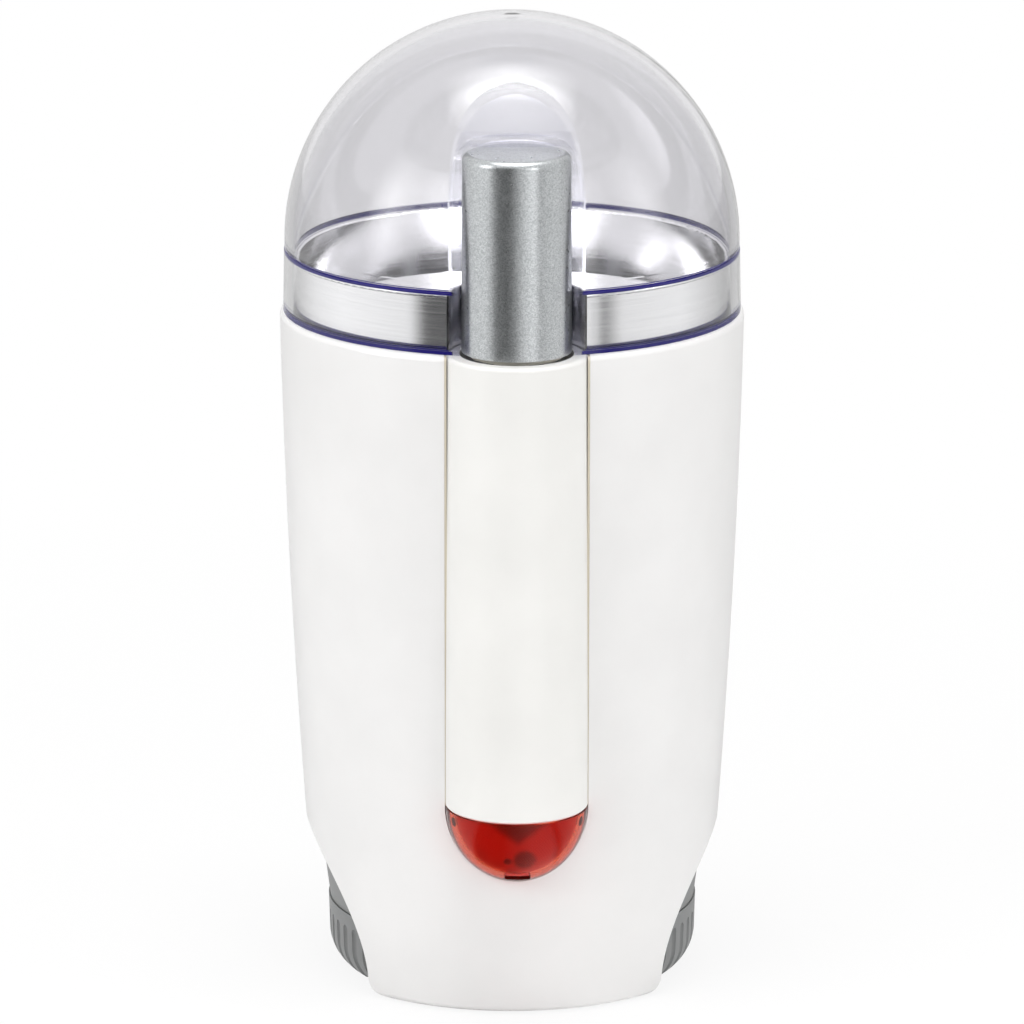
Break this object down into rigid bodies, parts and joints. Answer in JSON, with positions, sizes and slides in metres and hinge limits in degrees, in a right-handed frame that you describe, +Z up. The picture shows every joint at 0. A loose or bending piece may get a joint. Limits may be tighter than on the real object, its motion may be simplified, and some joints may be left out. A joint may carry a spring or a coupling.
{
  "type": "electric spice grinder",
  "caption": "Blade grinder with a tapered body on a fluted base, a steel bowl, a clear domed lid, a tall round push button on a front column and a round indicator lens.",
  "frame": {"origin": "on the drive axis, at the bottom of the rubber foot ring, where the grinder rests on the table", "axes": "+Z up along the drive axis; -Y is the front, with the button and the lens; +Y is the back, with the cord inlet"},
  "size_m": [0.0926, 0.1003, 0.1948],
  "materials": {
    "body_white": "moulded plastic, soft gloss",
    "column_white": "moulded plastic, soft gloss, a little warmer than the body",
    "lens_red": "clear red plastic with a fine diamond pattern inside",
    "dark_plastic": "dark moulded plastic",
    "lamp_glass": "small dark lamp",
    "silver_paint": "silver metallic paint with a fine flake",
    "inner_plastic": "plain moulded plastic",
    "spring_steel": "drawn wire",
    "lid_clear": "clear moulded plastic, polished",
    "bowl_steel": "pressed stainless steel, turned finish",
    "seal_rubber": "soft black rubber",
    "blade_steel": "ground stainless steel",
    "screw_steel": "zinc-plated steel",
    "lamination": "stacked steel sheets",
    "copper": "lacquered copper",
    "brass": "formed brass sheet",
    "carbon": "pressed carbon",
    "bracket_metal": "die-cast, matt",
    "bearing_bronze": "sintered bronze",
    "base_grey": "moulded grey plastic, satin",
    "foot_rubber": "soft dark rubber",
    "capacitor_yellow": "cast resin case"
  },
  "bodies": {
    "root": {"housing": "body_white", "front_column": "column_white", "indicator_lens": "lens_red", "lens_studs": "dark_plastic", "indicator_lamp": "lamp_glass", "lamp_holder": "dark_plastic", "button_spring": "spring_steel", "switch_body": "dark_plastic", "grinding_bowl": "bowl_steel", "bowl_gasket": "seal_rubber", "shaft_seal": "seal_rubber", "chassis": "inner_plastic", "chassis_screws": "screw_steel", "stator_core": "lamination", "field_coils": "copper", "brush_holders": "brass", "carbon_brushes": "carbon", "brush_springs": "spring_steel", "upper_bracket": "bracket_metal", "lower_bracket": "bracket_metal", "upper_bearing": "bearing_bronze", "lower_bearing": "bearing_bronze", "rubber_mounts": "seal_rubber", "mount_screws": "screw_steel", "motor_screws": "screw_steel", "base_collar": "base_grey", "base_ring": "base_grey", "base_plate": "dark_plastic", "base_screws": "screw_steel", "foot_ring": "foot_rubber", "cord_gland": "foot_rubber", "terminal_block": "inner_plastic", "suppression_capacitor": "capacitor_yellow"},
    "lid": {"lid_dome": "lid_clear"},
    "button": {"push_button": "silver_paint", "button_stem": "inner_plastic"},
    "plunger": {"switch_plunger": "inner_plastic"},
    "rotor": {"drive_shaft": "screw_steel", "rotor_core": "lamination", "armature_winding": "copper", "commutator": "copper", "cooling_fan": "dark_plastic", "blade": "blade_steel", "blade_spacer": "blade_steel", "blade_nut": "blade_steel"}
  },
  "joints": [
    {"name": "lid_lift", "type": "slide", "parent": "root", "child": "lid", "axis": [0, 0, 1], "range_m": [0, 0.06]},
    {"name": "button_press", "type": "slide", "parent": "root", "child": "button", "axis": [0, 0, -1], "range_m": [0, 0.0035], "stiffness_N_per_m": 600, "springref_m": -0.004, "deforming": ["button_spring"]},
    {"name": "plunger_press", "type": "slide", "parent": "root", "child": "plunger", "axis": [0, 0, -1], "range_m": [0, 0.0035]},
    {"name": "blade_spin", "type": "hinge", "parent": "root", "child": "rotor", "pos_m": [0, 0, 0], "axis": [0, 0, 1], "continuous": true}
  ],
  "couplings": [
    {"joint": "plunger_press", "follows": "button_press", "ratio": 1}
  ]
}
